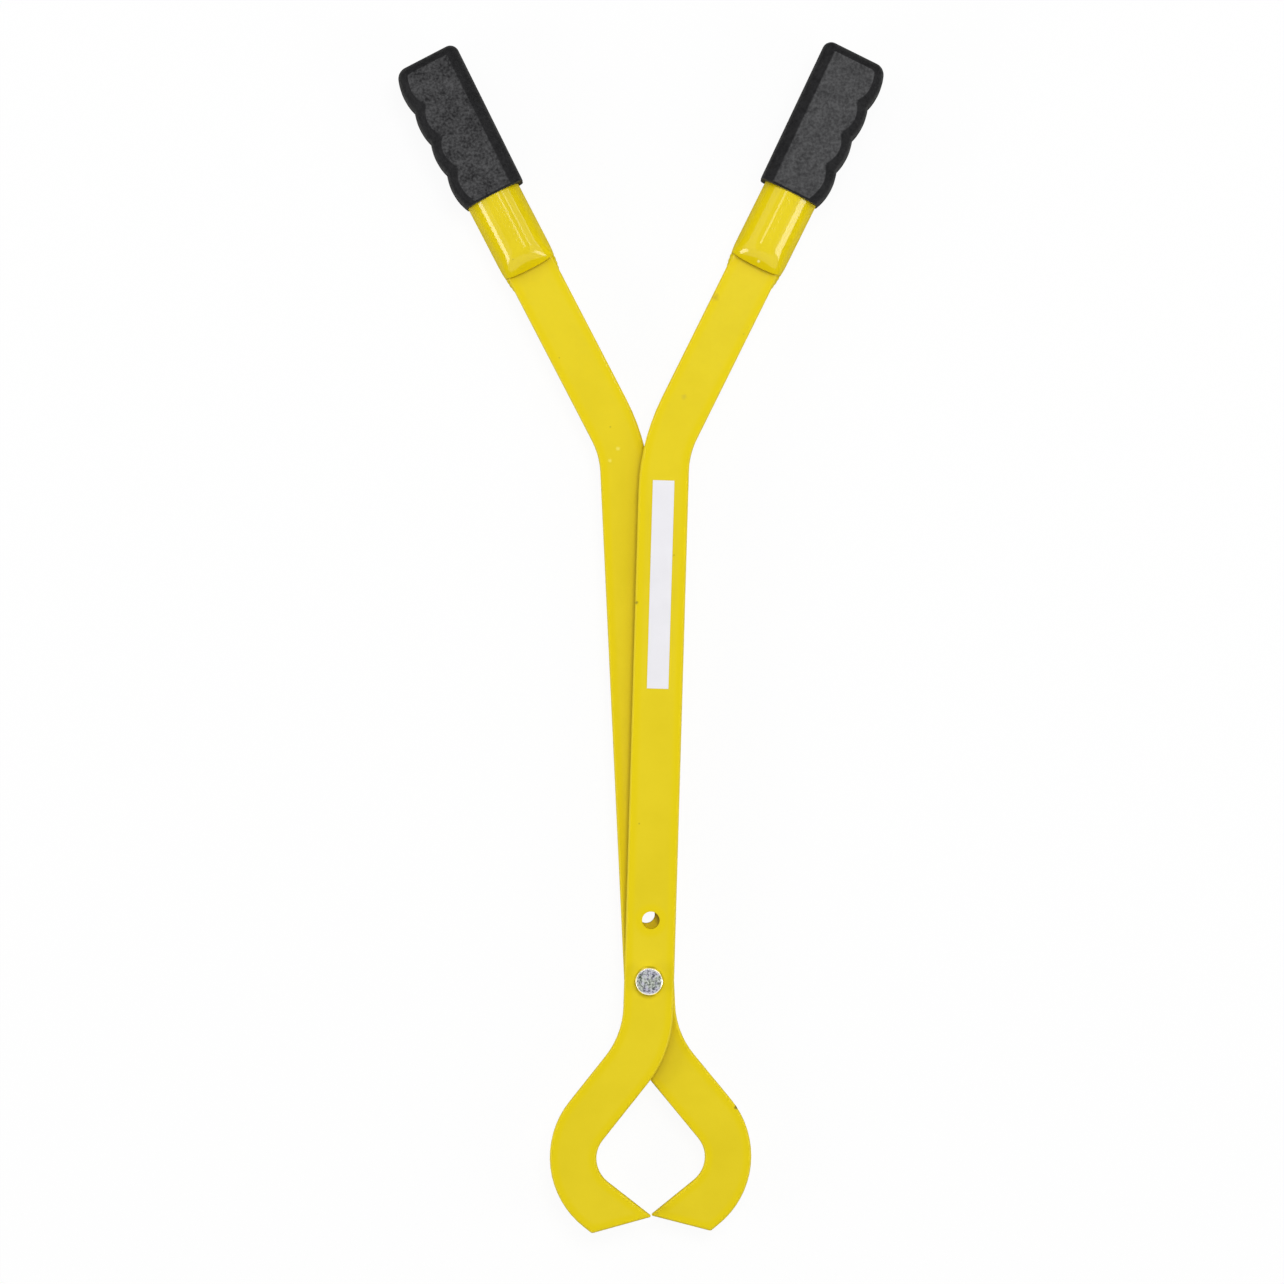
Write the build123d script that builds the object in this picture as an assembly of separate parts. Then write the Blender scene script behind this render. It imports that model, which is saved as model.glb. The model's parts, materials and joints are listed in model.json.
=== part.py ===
from build123d import *
from math import cos, radians, sin, sqrt, tan
import os

# Curb stone tongs: two crossed arms of flat bar on one bolt, with tube handles and moulded grips.
# They lie flat. X is to the right, Y runs from the jaws to the handles, Z is up, along the bolt.
# Lengths are in millimetres, angles in degrees.

# Flat bar of the arms
BAR_WIDTH = 30.0
BAR_THICKNESS = 8.0
BAR_EDGE_ROUND = 1.6
ARM_GAP = 0.2

# Bends of an arm along its centre line, measured from the pivot
ARM_LEAN = 2.18
HANDLE_BEND_DISTANCE = 320.0
HANDLE_ANGLE = 26.9
HANDLE_BEND_INNER_RADIUS = 46.0
HANDLE_BEND_OUTER_RADIUS = 135.0
KNEE_DISTANCE = 38.0
KNEE_INNER_RADIUS = 50.0
KNEE_OUTER_RADIUS = 70.0
JAW_ARM_ANGLE = 39.0
JAW_ARM_LENGTH = 95.0
JAW_INNER_RADIUS = 18.0
JAW_OUTER_RADIUS = 53.0
JAW_TIP_ANGLE = 128.5
JAW_INNER_EDGE = 51.6
JAW_BEVEL_ANGLE = 15.0
JAW_HEEL_RADIUS = 2.0
JAW_POINT_RADIUS = 0.6

# Holes for the pivot bolt and for setting the tongs to another width
HOLE_DIAMETER = 10.5
FRONT_SPARE_HOLE_PITCH = 36.4
REAR_SPARE_HOLE_PITCH = 39.4

# Steel tube of a handle, with its lower end pressed down over the bar
TUBE_DIAMETER = 33.7
TUBE_WALL = 2.0
TUBE_START = 123.0
TUBE_LENGTH = 135.0
TANG_LENGTH = 50.0
TANG_WIDTH = 25.0
TANG_PLAY = 0.1
TANG_SHOULDER = 0.4
SHOULDER_SLOPE = 0.35
NOSE_LENGTH = 16.0
NOSE_LIP_DIP = 1.2
NOSE_LIP_RADIUS = 90.0
NOSE_SECTIONS = [
    # distance from the lip, width, height of the oval
    (16.0, 33.7, 33.7),
    (9.0, 33.9, 30.0),
    (3.5, 33.6, 23.0),
    (0.5, 32.9, 18.5),
    (-2.5, 31.4, 15.5),
]

# Short welds on the narrow edges of the bar, below the tube
WELD_RADII = [4.0, 3.7, 3.2]
WELD_STEP = 2.8
WELD_SINK = 2.7

# Moulded grip
FRONT_GRIP_START = 170.1
REAR_GRIP_START = 171.1
GRIP_LENGTH = 92.1
GRIP_THICKNESS = 39.0
GRIP_BACK_OFFSET = 20.2
GRIP_BACK_DRAFT = 1.03
GRIP_CAP = 4.0
GRIP_PLAY = 0.1
FINGER_COUNT = 4
FINGER_PITCH = 21.0
FIRST_FINGER = 13.5
FINGER_RADIUS = 30.0
FINGER_REACH = 20.7
GRIP_MOUTH_CORNER = 0.8
GRIP_BACK_CORNER = 5.6
GRIP_FRONT_CORNER = 7.5
GRIP_LEVELS = [
    # depth below the flat face, then inset of the back, of the end and of the finger lobes
    (7.0, 0.0, 0.0, 0.0),
    (2.6, 2.8, 1.5, 2.2),
    (0.0, 8.0, 5.0, 6.4),
]

# M10 bolt, washer and self-locking nut
BOLT_DIAMETER = 10.0
HEX_ACROSS_FLATS = 16.0
HEX_CHAMFER_DIAMETER = 14.3
HEX_CHAMFER_ANGLE = 30.0
HEAD_TURN = -9.0
BOLT_HEAD_HEIGHT = 6.4
BOLT_HEAD_GAP = 0.1
BOLT_LENGTH = 30.0
BOLT_END_CHAMFER = 1.0
WASHER_DIAMETER = 20.0
WASHER_THICKNESS = 2.0
NUT_HEIGHT = 10.0
NUT_HEX_HEIGHT = 7.2
NUT_COLLAR_DIAMETER = 14.6
NUT_COLLAR_BEVEL = 1.2
NUT_BORE = 10.1
INSERT_DIAMETER = 12.6
INSERT_HEIGHT = 2.2
INSERT_COVER = 0.5

# Bare sticker on the front arm
LABEL_LENGTH = 125.0
LABEL_WIDTH = 12.9
LABEL_THICKNESS = 0.15
LABEL_DISTANCE = 238.0

# Heights of the pieces above the middle of the rear bar
REAR_LEVEL = 0.0
FRONT_LEVEL = BAR_THICKNESS + ARM_GAP
HEAD_SEAT = FRONT_LEVEL + BAR_THICKNESS / 2 + BOLT_HEAD_GAP
WASHER_TOP = REAR_LEVEL - BAR_THICKNESS / 2
NUT_TOP = WASHER_TOP - WASHER_THICKNESS


def heading(angle):
    """Unit vector at an angle from the Y axis, turning towards X."""
    return Vector(sin(radians(angle)), cos(radians(angle)))


def right_of(direction):
    """Unit vector to the right of a direction of travel."""
    return Vector(direction.Y, -direction.X)


def crossing(point_a, direction_a, point_b, direction_b):
    """Point where two lines in the plane meet."""
    turn = direction_a.X * direction_b.Y - direction_a.Y * direction_b.X
    gap = point_b - point_a
    along = (gap.X * direction_b.Y - gap.Y * direction_b.X) / turn
    return point_a + direction_a * along


def edge_corner(corner, before, after, offset):
    """Corner of the bar's edge that lies beside a corner of its centre line."""
    edge_before = corner + right_of(before) * offset
    edge_after = corner + right_of(after) * offset
    return crossing(edge_before, before, edge_after, after)


def round_corner(face, corner, radius):
    """Round the corner of a flat face that lies nearest to a point."""
    vertex = face.vertices().sort_by_distance(corner)[0]
    return fillet(vertex, radius)


# Centre line of the front arm, from the handle at the upper right to the jaw at the lower left
SHANK_DOWN = -heading(ARM_LEAN)
HANDLE_DOWN = -heading(HANDLE_ANGLE)
JAW_DOWN = -heading(JAW_ARM_ANGLE)
TIP_AHEAD = heading(JAW_TIP_ANGLE)
HANDLE_BEND = heading(ARM_LEAN) * HANDLE_BEND_DISTANCE
KNEE = SHANK_DOWN * KNEE_DISTANCE
JAW_BEND = KNEE + JAW_DOWN * JAW_ARM_LENGTH
TUBE_LIP = HANDLE_BEND - HANDLE_DOWN * TUBE_START


def bar_outline():
    """Outline of the front arm's flat bar, narrowed to a tang inside the tube."""
    half = BAR_WIDTH / 2
    side = right_of(HANDLE_DOWN)
    tang_root = TUBE_LIP + HANDLE_DOWN * TANG_SHOULDER
    shoulder = tang_root - HANDLE_DOWN * SHOULDER_SLOPE
    tang_end = TUBE_LIP - HANDLE_DOWN * TANG_LENGTH
    bend_outer = edge_corner(HANDLE_BEND, HANDLE_DOWN, SHANK_DOWN, half)
    bend_inner = edge_corner(HANDLE_BEND, HANDLE_DOWN, SHANK_DOWN, -half)
    knee_inner = edge_corner(KNEE, SHANK_DOWN, JAW_DOWN, half)
    knee_outer = edge_corner(KNEE, SHANK_DOWN, JAW_DOWN, -half)
    jaw_outer = edge_corner(JAW_BEND, JAW_DOWN, TIP_AHEAD, half)
    jaw_inner = edge_corner(JAW_BEND, JAW_DOWN, TIP_AHEAD, -half)
    tip = jaw_inner + TIP_AHEAD * JAW_INNER_EDGE
    bevel = heading(-90 - JAW_BEVEL_ANGLE)
    heel = crossing(tip, bevel, jaw_outer, TIP_AHEAD)
    corners = [
        tang_end + side * TANG_WIDTH / 2,
        tang_root + side * TANG_WIDTH / 2,
        shoulder + side * half,
        bend_outer,
        knee_inner,
        jaw_outer,
        heel,
        tip,
        jaw_inner,
        knee_outer,
        bend_inner,
        shoulder - side * half,
        tang_root - side * TANG_WIDTH / 2,
        tang_end - side * TANG_WIDTH / 2,
    ]
    face = make_face(Polyline(*corners, close=True))
    bends = [
        (bend_outer, HANDLE_BEND_OUTER_RADIUS),
        (bend_inner, HANDLE_BEND_INNER_RADIUS),
        (knee_inner, KNEE_INNER_RADIUS),
        (knee_outer, KNEE_OUTER_RADIUS),
        (jaw_outer, JAW_OUTER_RADIUS),
        (jaw_inner, JAW_INNER_RADIUS),
        (heel, JAW_HEEL_RADIUS),
        (tip, JAW_POINT_RADIUS),
    ]
    for corner, radius in bends:
        face = round_corner(face, corner, radius)
    return face


def outside_tube(edge):
    """Whether an edge of the bar lies below the tube's lip, not on its tang."""
    return (edge.center() - TUBE_LIP).dot(HANDLE_DOWN) > TANG_SHOULDER


def bar(spare_hole_pitch):
    """Flat bar of an arm, its edges rounded below the tube, its middle plane at Z = 0."""
    solid = extrude(bar_outline(), BAR_THICKNESS / 2, both=True)
    rims = solid.faces().sort_by(Axis.Z)[0].edges() + solid.faces().sort_by(Axis.Z)[-1].edges()
    solid = fillet(rims.filter_by(outside_tube), BAR_EDGE_ROUND)
    drill = Cylinder(HOLE_DIAMETER / 2, 2 * BAR_THICKNESS)
    return solid - drill - Pos(heading(ARM_LEAN) * spare_hole_pitch) * drill


def on_handle(distance):
    """Place of a piece that is modelled along Y, at a distance up the handle from the bend."""
    start = HANDLE_BEND - HANDLE_DOWN * distance
    return Pos(start.X, start.Y) * Rot(0, 0, -HANDLE_ANGLE)


def nose_section(section):
    """Oval cross-section of the tube's pressed end."""
    distance, width, height = section
    plane = Plane(origin=(0, distance, 0), x_dir=(1, 0, 0), z_dir=(0, 1, 0))
    return plane * Ellipse(width / 2, height / 2)


def above_lip():
    """Wide disc that covers the tube's side of its curved lip."""
    return Pos(0, NOSE_LIP_RADIUS - NOSE_LIP_DIP, 0) * Cylinder(NOSE_LIP_RADIUS, 2 * TUBE_DIAMETER)


def handle_tube():
    """Round tube whose lower end is pressed to an oval nose over the bar."""
    nose = loft([nose_section(section) for section in NOSE_SECTIONS]) & above_lip()
    along = Rot(-90, 0, 0)
    upward = (Align.CENTER, Align.CENTER, Align.MIN)
    body_length = TUBE_LENGTH - NOSE_LENGTH
    body = Pos(0, NOSE_LENGTH, 0) * along * Cylinder(TUBE_DIAMETER / 2, body_length, align=upward)
    bore = Pos(0, NOSE_LENGTH, 0) * along * Cylinder(TUBE_DIAMETER / 2 - TUBE_WALL, body_length, align=upward)
    slot_width = TANG_WIDTH + 2 * TANG_PLAY
    slot_height = BAR_THICKNESS + 2 * TANG_PLAY
    slot = Box(slot_width, 3 * NOSE_LENGTH, slot_height)
    return nose + body - bore - slot


def weld_bead():
    """Short rippled bead on the outer narrow edge of the bar, up against the tube."""
    bead = Sphere(WELD_RADII[0])
    for step, radius in enumerate(WELD_RADII[1:], start=1):
        bead = bead + Pos(0, -WELD_STEP * step, 0) * Sphere(radius)
    bead = Pos(BAR_WIDTH / 2 - WELD_SINK, -WELD_STEP / 2, 0) * bead
    beside_bar = Pos(BAR_WIDTH / 2, 0, 0) * Box(
        TUBE_DIAMETER, 2 * TUBE_DIAMETER, TUBE_DIAMETER, align=(Align.MIN, Align.CENTER, Align.CENTER)
    )
    return (bead & beside_bar) - above_lip()


def grip_outline(back_inset, end_inset, finger_inset):
    """Outline of the grip seen from above, drawn in on every side but its mouth."""
    radius = FINGER_RADIUS - finger_inset
    centre_x = FINGER_REACH - FINGER_RADIUS
    end = GRIP_LENGTH - end_inset

    def finger_x(distance):
        return centre_x + sqrt(radius**2 - distance**2)

    mouth_front = Vector(finger_x(FIRST_FINGER), 0)
    edges = []
    start = mouth_front
    for finger in range(FINGER_COUNT):
        middle = FIRST_FINGER + FINGER_PITCH * finger
        finish_y = end if finger == FINGER_COUNT - 1 else middle + FINGER_PITCH / 2
        finish = Vector(finger_x(finish_y - middle), finish_y)
        edges.append(ThreePointArc(start, (centre_x + radius, middle), finish))
        start = finish
    mouth_back = Vector(back_inset - GRIP_BACK_OFFSET, 0)
    back_end = mouth_back + Vector(-tan(radians(GRIP_BACK_DRAFT)), 1) * end
    edges.append(Polyline(start, back_end, mouth_back, mouth_front))
    face = make_face(edges)
    face = round_corner(face, mouth_back, GRIP_MOUTH_CORNER)
    face = round_corner(face, mouth_front, GRIP_MOUTH_CORNER)
    face = round_corner(face, back_end, GRIP_BACK_CORNER - end_inset)
    return round_corner(face, start, GRIP_FRONT_CORNER - end_inset)


def grip():
    """Moulded grip with finger lobes, rolled edges round its flat faces and a closed end."""
    half = GRIP_THICKNESS / 2
    outlines = [Pos(0, 0, half - depth) * grip_outline(*insets) for depth, *insets in GRIP_LEVELS]
    solid = extrude(grip_outline(0, 0, 0), half - GRIP_LEVELS[0][0], both=True)
    for lower, upper in zip(outlines, outlines[1:]):
        layer = loft([lower, upper], ruled=True)
        solid = solid + layer + mirror(layer, Plane.XY)
    bore_radius = TUBE_DIAMETER / 2 + GRIP_PLAY
    depth = GRIP_LENGTH - GRIP_CAP
    bore = Rot(-90, 0, 0) * Cylinder(bore_radius, depth, align=(Align.CENTER, Align.CENTER, Align.MIN))
    return solid - bore


def hexagon(height):
    """Hexagonal prism standing on Z = 0 with its upper corners turned off."""
    prism = extrude(RegularPolygon(HEX_ACROSS_FLATS / 2, 6, major_radius=False), height)
    rim = HEX_CHAMFER_DIAMETER / 2
    reach = HEX_ACROSS_FLATS
    drop = (reach - rim) * tan(radians(HEX_CHAMFER_ANGLE))
    profile = Polyline((0, 0), (reach, 0), (reach, height - drop), (rim, height), (0, height), close=True)
    return prism & revolve(make_face(Plane.XZ * profile), Axis.Z)


def pivot_bolt():
    """Hexagon bolt whose shank reaches down through both arms, the washer and the nut."""
    head = Pos(0, 0, HEAD_SEAT) * Rot(0, 0, HEAD_TURN) * hexagon(BOLT_HEAD_HEIGHT)
    shank = Cylinder(BOLT_DIAMETER / 2, BOLT_LENGTH, align=(Align.CENTER, Align.CENTER, Align.MAX))
    shank = chamfer(shank.edges().sort_by(Axis.Z)[0], BOLT_END_CHAMFER)
    return head + Pos(0, 0, HEAD_SEAT) * shank


def washer():
    """Flat washer between the rear arm and the nut."""
    top = (Align.CENTER, Align.CENTER, Align.MAX)
    disc = Cylinder(WASHER_DIAMETER / 2, WASHER_THICKNESS, align=top)
    hole = Cylinder(HOLE_DIAMETER / 2, 3 * WASHER_THICKNESS)
    return Pos(0, 0, WASHER_TOP) * (disc - hole)


def insert_ring():
    """Plastic ring that grips the thread, in the collar of the nut."""
    low = (Align.CENTER, Align.CENTER, Align.MIN)
    ring = Cylinder(INSERT_DIAMETER / 2, INSERT_HEIGHT, align=low)
    ring = ring - Cylinder(NUT_BORE / 2, INSERT_HEIGHT, align=low)
    return Pos(0, 0, NUT_TOP - NUT_HEIGHT + INSERT_COVER) * ring


def pivot_nut():
    """Self-locking nut, its hexagon against the washer and its round collar below."""
    collar = Cylinder(NUT_COLLAR_DIAMETER / 2, NUT_HEIGHT, align=(Align.CENTER, Align.CENTER, Align.MIN))
    collar = chamfer(collar.edges().sort_by(Axis.Z)[-1], NUT_COLLAR_BEVEL)
    body = hexagon(NUT_HEX_HEIGHT) + collar
    body = body - Cylinder(NUT_BORE / 2, 3 * NUT_HEIGHT)
    body = Pos(0, 0, NUT_TOP) * Rot(180, 0, 0) * body
    pocket = Cylinder(INSERT_DIAMETER / 2, INSERT_HEIGHT, align=(Align.CENTER, Align.CENTER, Align.MIN))
    return body - Pos(0, 0, NUT_TOP - NUT_HEIGHT + INSERT_COVER) * pocket


def label():
    """Bare white sticker along the middle of the front arm."""
    middle = heading(ARM_LEAN) * LABEL_DISTANCE
    plate = Box(LABEL_WIDTH, LABEL_LENGTH, LABEL_THICKNESS, align=(Align.CENTER, Align.CENTER, Align.MIN))
    return Pos(middle.X, middle.Y, BAR_THICKNESS / 2) * Rot(0, 0, -ARM_LEAN) * plate


def arm_pieces(name, spare_hole_pitch, grip_start):
    """Bar, tube, welds and grip of an arm, as the front arm has them."""
    bead = weld_bead()
    return {
        name + "_arm": bar(spare_hole_pitch),
        name + "_handle_tube": on_handle(TUBE_START) * handle_tube(),
        name + "_outer_weld": on_handle(TUBE_START) * bead,
        name + "_inner_weld": on_handle(TUBE_START) * mirror(bead, Plane.YZ),
        name + "_grip": on_handle(grip_start) * grip(),
    }


def tongs():
    """Every piece of the tongs, with the pivot at the origin of X and Y."""
    front = arm_pieces("front", FRONT_SPARE_HOLE_PITCH, FRONT_GRIP_START)
    front["label"] = label()
    rear = arm_pieces("rear", REAR_SPARE_HOLE_PITCH, REAR_GRIP_START)
    pieces = {name: Pos(0, 0, FRONT_LEVEL) * piece for name, piece in front.items()}
    for name, piece in rear.items():
        pieces[name] = Pos(0, 0, REAR_LEVEL) * mirror(piece, Plane.YZ)
    pieces["pivot_bolt"] = pivot_bolt()
    pieces["washer"] = washer()
    pieces["pivot_nut"] = pivot_nut()
    pieces["insert_ring"] = insert_ring()
    return pieces


def export_all():
    """Set the tongs down with the middle of their box over the origin, and write each piece."""
    os.makedirs("parts", exist_ok=True)
    pieces = tongs()
    box = Compound(children=[Compound(piece.solids()) for piece in pieces.values()]).bounding_box()
    middle = box.center()
    shift = Pos(-middle.X, -middle.Y, -box.min.Z)
    for name, piece in pieces.items():
        solids = (shift * piece).solids()
        export_step(solids[0] if len(solids) == 1 else Compound(solids), f"parts/{name}.step")
    print("size", box.size)
    print("pivot at", -middle.X, -middle.Y, "middle of rear bar at", -box.min.Z)


export_all()
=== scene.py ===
# Curb stone tongs: two crossed arms of yellow enamelled flat bar that turn on one bolt, with tube
# handles and black moulded grips. They lie flat on a white ground and are seen from straight above.
# Places are in metres, in the frame of the solids: Y runs from the jaws to the handles.
import json
from math import asin, atan2, copysign, cos, pi, radians, sin, sqrt, tan

import bmesh
import bpy
from mathutils import Euler, Matrix, Vector


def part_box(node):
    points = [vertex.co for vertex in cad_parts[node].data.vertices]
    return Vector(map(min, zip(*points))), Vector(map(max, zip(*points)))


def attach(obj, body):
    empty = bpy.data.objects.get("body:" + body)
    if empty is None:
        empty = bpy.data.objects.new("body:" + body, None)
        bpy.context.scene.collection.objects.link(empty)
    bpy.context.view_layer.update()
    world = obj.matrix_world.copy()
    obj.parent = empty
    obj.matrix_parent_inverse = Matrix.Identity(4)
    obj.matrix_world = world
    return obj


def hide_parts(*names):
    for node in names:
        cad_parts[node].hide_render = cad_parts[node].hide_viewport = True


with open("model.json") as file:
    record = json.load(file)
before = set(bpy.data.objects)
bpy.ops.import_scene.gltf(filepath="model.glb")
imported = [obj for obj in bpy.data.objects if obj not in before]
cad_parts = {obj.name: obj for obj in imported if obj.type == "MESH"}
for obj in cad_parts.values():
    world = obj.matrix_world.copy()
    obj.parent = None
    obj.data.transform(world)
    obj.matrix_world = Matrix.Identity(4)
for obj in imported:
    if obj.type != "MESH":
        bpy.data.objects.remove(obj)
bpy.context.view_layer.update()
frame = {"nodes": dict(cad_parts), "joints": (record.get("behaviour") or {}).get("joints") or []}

# Camera. It looks straight down from 3.3 m over the front arm's face, so the thick grips spread in
# the picture as they do in the photograph. The tongs lie half a degree anticlockwise there, which
# the camera's roll gives. The pixel is the bolt's place in the square photograph.
PHOTO_WIDTH = 1284
BOLT_PIXEL = Vector((649.1, 981.0))
PIXEL_SIZE = 0.60e-3
CAMERA_HEIGHT = 3.3
CAMERA_ROLL = radians(-0.51)

pivot = Vector(frame["joints"][0]["pos_m"])
front_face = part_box("front_arm")[1].z
photo_middle = Vector((PHOTO_WIDTH / 2 - BOLT_PIXEL.x, BOLT_PIXEL.y - PHOTO_WIDTH / 2, 0))
from_bolt = photo_middle * PIXEL_SIZE
from_bolt.rotate(Euler((0, 0, CAMERA_ROLL)))

camera = bpy.data.objects.new("camera", bpy.data.cameras.new("camera"))
camera.data.lens = camera.data.sensor_width * CAMERA_HEIGHT / (PHOTO_WIDTH * PIXEL_SIZE)
camera.location = (pivot.x + from_bolt.x, pivot.y + from_bolt.y, front_face + CAMERA_HEIGHT)
camera.rotation_euler = (0, 0, CAMERA_ROLL)
bpy.context.scene.collection.objects.link(camera)
bpy.context.scene.camera = camera


# Sky and ground. The tongs lie on a matt white board that runs on into a white sky. The camera, and
# surfaces that mirror them or show them through, see both as white. The sky's fill light is weaker,
# and a small part of the board's white is light that falls on it, which keeps a faint shadow.
def linear(hex_colour):
    """Linear colour, with its alpha, of an sRGB value such as #E3CF26."""
    channels = [int(hex_colour[place:place + 2], 16) / 255 for place in (1, 3, 5)]
    return [c / 12.92 if c <= 0.04045 else ((c + 0.055) / 1.055) ** 2.4 for c in channels] + [1.0]


def add_node(tree, kind, inputs, **settings):
    """Add a node and set or link its inputs, where another node stands for its first output."""
    node = tree.nodes.new("ShaderNode" + kind)
    for name, value in settings.items():
        setattr(node, name, value)
    for name, value in inputs.items():
        if isinstance(value, bpy.types.Node):
            value = value.outputs[0]
        if isinstance(value, bpy.types.NodeSocket):
            tree.links.new(value, node.inputs[name])
        else:
            node.inputs[name].default_value = value
    return node


def seen_directly(tree):
    """1 for rays from the camera, from glossy surfaces and through clear ones, else 0."""
    path = add_node(tree, "LightPath", {})
    mirrored = add_node(
        tree, "Math", {0: path.outputs["Is Glossy Ray"], 1: path.outputs["Is Transmission Ray"]},
        operation="MAXIMUM",
    )
    return add_node(
        tree, "Math", {0: path.outputs["Is Camera Ray"], 1: mirrored}, operation="MAXIMUM"
    )


def sheet(name, corners, faces, material):
    """Flat sheets of the stage."""
    mesh = bpy.data.meshes.new(name)
    mesh.from_pydata(corners, [], faces)
    mesh.materials.append(material)
    piece = bpy.data.objects.new(name, mesh)
    bpy.context.scene.collection.objects.link(piece)
    return piece


def square(size, height):
    """Corners of a level square with its middle over the middle of the tongs."""
    reach = size / 2
    flat = [(-reach, -reach), (reach, -reach), (reach, reach), (-reach, reach)]
    return [(x, y, height) for x, y in flat]


SKY_FILL = 0.24
GROUND_WHITE = "#F4F4F4"
GROUND_SIZE = 12.0
GROUND_GLOW = 0.93
ONE_FACE = [(0, 1, 2, 3)]

sky = bpy.data.worlds.new("white_sky")
sky.use_nodes = True
sky.node_tree.nodes.clear()
strength = add_node(
    sky.node_tree, "MapRange",
    {"Value": seen_directly(sky.node_tree), "To Min": SKY_FILL, "To Max": 1.0},
)
background = add_node(
    sky.node_tree, "Background", {"Color": linear("#FFFFFF"), "Strength": strength}
)
add_node(sky.node_tree, "OutputWorld", {"Surface": background})
bpy.context.scene.world = sky

white_ground = bpy.data.materials.new("matt_white_ground")
white_ground.use_nodes = True
ground_tree = white_ground.node_tree
ground_tree.nodes.clear()
board = add_node(ground_tree, "BsdfDiffuse", {"Color": linear(GROUND_WHITE)})
glow = add_node(ground_tree, "Emission", {"Color": linear("#FFFFFF"), "Strength": 1.0})
glow_share = add_node(
    ground_tree, "Math", {0: seen_directly(ground_tree), 1: GROUND_GLOW}, operation="MULTIPLY"
)
mixed = add_node(ground_tree, "MixShader", {0: glow_share, 1: board, 2: glow})
add_node(ground_tree, "OutputMaterial", {"Surface": mixed})
sheet("ground", square(GROUND_SIZE, 0.0), ONE_FACE, white_ground)


# Cards. A grey one hangs over the tongs, a dark one lies under them and four dark ones stand round
# them, low down. They are only mirrored, and throw no shadow: they keep white reflections off the
# enamel and off the top of the bolt head, which stay as deep in colour as in the photograph.
CEILING_GREY = "#92929A"
CEILING_SIZE = 3.4
CEILING_HEIGHT = 2.4
LOW_CARD_GREY = "#303032"
FLOOR_SIZE = 5.2
FLOOR_HEIGHT = 0.0005
SIDE_SPREAD = 5.2
SIDE_HEIGHT = 0.95
FOUR_SIDES = [(0, 1, 5, 4), (1, 2, 6, 5), (2, 3, 7, 6), (3, 0, 4, 7)]


def card_grey(name, hex_colour):
    """Material of a card that shows one even grey, however it is lit."""
    material = bpy.data.materials.new(name)
    material.use_nodes = True
    tree = material.node_tree
    tree.nodes.clear()
    even = add_node(tree, "Emission", {"Color": linear(hex_colour), "Strength": 1.0})
    add_node(tree, "OutputMaterial", {"Surface": even})
    return material


def card(name, corners, faces, material):
    """Sheet that is only mirrored, and throws no shadow."""
    piece = sheet(name, corners, faces, material)
    piece.visible_camera = False
    piece.visible_diffuse = False
    piece.visible_transmission = False
    piece.visible_shadow = False


ceiling_grey = card_grey("grey_card", CEILING_GREY)
low_grey = card_grey("dark_card", LOW_CARD_GREY)
card("ceiling_card", square(CEILING_SIZE, CEILING_HEIGHT), ONE_FACE, ceiling_grey)
card("floor_card", square(FLOOR_SIZE, FLOOR_HEIGHT), ONE_FACE, low_grey)
side_corners = square(SIDE_SPREAD, 0.0) + square(SIDE_SPREAD, SIDE_HEIGHT)
card("side_cards", side_corners, FOUR_SIDES, low_grey)


# Lamps. A lamp high up beyond the handles, to the right, a fill from the left and the sky share the
# light. The others stand square to one handle tube each, where the camera sees them mirrored: two
# softboxes draw the broad streaks on the outer sides, four thin lamps the fine ones further in.
LEAN = radians(2.18)
BEND_DISTANCE = 0.320
HANDLE_ANGLE = radians(26.9)
SEEN_TUBE_MIDDLE = 0.146
TUBE_HEIGHT = 0.0235
HIGH_LAMP_PLACE = Vector((0.42, 0.78, 3.0))
HIGH_LAMP_SIZE = 1.15
HIGH_LAMP_RADIANCE = 11.1
TUBE_LAMPS = [
    # name, side of its tube, degrees it leans outwards, distance from the tube, shift up the tube,
    # width across the tube, length along it, radiance, whether it is mirrored
    ("right_softbox", 1, 62.0, 2.2, -0.12, 1.10, 0.62, 5.2, True),
    ("left_softbox", -1, 65.5, 2.2, -0.10, 0.65, 0.95, 6.8, True),
    ("left_fill", 1, -62.0, 2.2, 0.0, 1.0, 1.0, 1.6, False),
    ("right_thin_lamp", 1, -19.6, 2.0, -0.13, 0.27, 0.66, 3.4, True),
    ("left_thin_lamp", -1, -20.4, 2.0, -0.13, 0.27, 0.66, 3.0, True),
    ("left_second_lamp", -1, -42.2, 2.0, -0.10, 0.18, 0.66, 3.2, True),
    ("left_third_lamp", -1, -70.0, 2.0, -0.10, 0.16, 0.80, 1.6, True),
]


def lamp(name, place, width, length, radiance, mirrored):
    """Flat lamp that shines down its own Z axis, invisible to the camera itself."""
    data = bpy.data.lights.new(name, "AREA")
    data.shape = "RECTANGLE"
    data.size = width
    data.size_y = length
    data.energy = radiance * pi * width * length
    piece = bpy.data.objects.new(name, data)
    piece.matrix_world = place
    piece.visible_camera = False
    piece.visible_glossy = mirrored
    bpy.context.scene.collection.objects.link(piece)


def handle_frame(side, height):
    """Place and turn of a handle's bend; side is 1 for the front arm and -1 for the rear one."""
    bend = Vector((side * sin(LEAN), cos(LEAN), 0)) * BEND_DISTANCE
    place = Matrix.Translation((pivot.x + bend.x, pivot.y + bend.y, height))
    return place @ Matrix.Rotation(-side * HANDLE_ANGLE, 4, "Z")


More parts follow.
